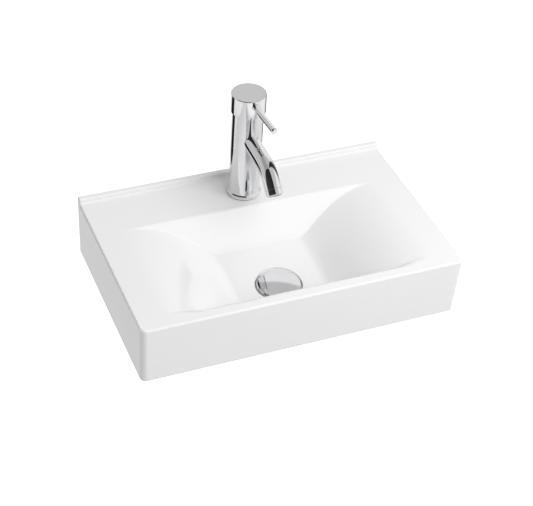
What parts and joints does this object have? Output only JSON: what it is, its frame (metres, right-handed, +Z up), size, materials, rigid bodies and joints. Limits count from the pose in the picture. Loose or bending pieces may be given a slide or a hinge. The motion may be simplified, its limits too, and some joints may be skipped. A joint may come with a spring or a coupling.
{
  "type": "wall-hung basin",
  "caption": "Small rectangular wall-hung basin with a sloping bowl, a single-lever column mixer tap and a push-open waste.",
  "frame": {"origin": "midway between the two wall fixing holes, on the face that meets the wall", "axes": "+X to the right seen from the front, +Y into the wall, +Z up"},
  "size_m": [0.48, 0.2999, 0.3053],
  "materials": {
    "glaze": "glossy white glaze",
    "chrome": "bright chrome plating on brass",
    "brass": "plain turned brass",
    "steel": "bright zinc or stainless steel",
    "rubber": "black rubber",
    "cartridge_plastic": "glass-filled grey plastic",
    "disc_ceramic": "lapped ceramic",
    "white_plastic": "moulded white plastic"
  },
  "bodies": {
    "basin": {"basin_back_wall": "glaze", "basin_front_wall": "glaze", "basin_left_wall": "glaze", "basin_right_wall": "glaze", "basin_deck": "glaze", "basin_slope_left": "glaze", "basin_slope_right": "glaze", "basin_facet": "glaze", "basin_floor": "glaze", "basin_bowl_front": "glaze", "tap_body": "chrome", "tap_base_gasket": "rubber", "tap_spout": "chrome", "aerator_housing": "chrome", "aerator_washer": "rubber", "aerator_insert": "white_plastic", "cartridge_base": "cartridge_plastic", "cartridge_seals": "rubber", "cartridge_housing": "cartridge_plastic", "cartridge_nut": "brass", "fixed_disc": "disc_ceramic", "dome_ring": "chrome", "tap_stud": "steel", "tap_rubber_shoe": "rubber", "tap_steel_shoe": "steel", "tap_nut": "steel", "waste_body": "chrome", "waste_top_gasket": "rubber", "click_barrel": "brass", "click_spring": "steel", "waste_cone_washer": "rubber", "waste_slip_washer": "white_plastic", "waste_backnut": "brass", "wall_bushes": "white_plastic", "wall_washers": "steel", "wall_nuts": "steel"},
    "rotor": {"cartridge_rotor": "cartridge_plastic", "stem_pivot_pin": "steel"},
    "lever": {"handle_cap": "chrome", "lever_pin": "chrome", "control_stem": "steel", "lever_grub_screw": "steel"},
    "mixing_disc": {"moving_disc": "disc_ceramic"},
    "plug": {"plug_cap": "chrome", "plug_seal": "rubber", "plug_spindle": "brass"}
  },
  "joints": [
    {"name": "lever_swivel", "type": "hinge", "parent": "basin", "child": "rotor", "pos_m": [0, -0.05, 0.189], "axis": [0, 0, 1], "range_deg": [-45, 45]},
    {"name": "lever_lift", "type": "hinge", "parent": "rotor", "child": "lever", "pos_m": [0, -0.05, 0.189], "axis": [-1, 0, 0], "range_deg": [0, 22]},
    {"name": "disc_slide", "type": "slide", "parent": "rotor", "child": "mixing_disc", "axis": [0, -1, 0], "range_m": [0, 0.0044]},
    {"name": "plug_slide", "type": "slide", "parent": "basin", "child": "plug", "axis": [0, 0, 1], "range_m": [0, 0.008], "deforming": ["click_spring"]}
  ],
  "couplings": [
    {"joint": "disc_slide", "follows": "lever_lift", "m_per_rad": 0.0112}
  ]
}
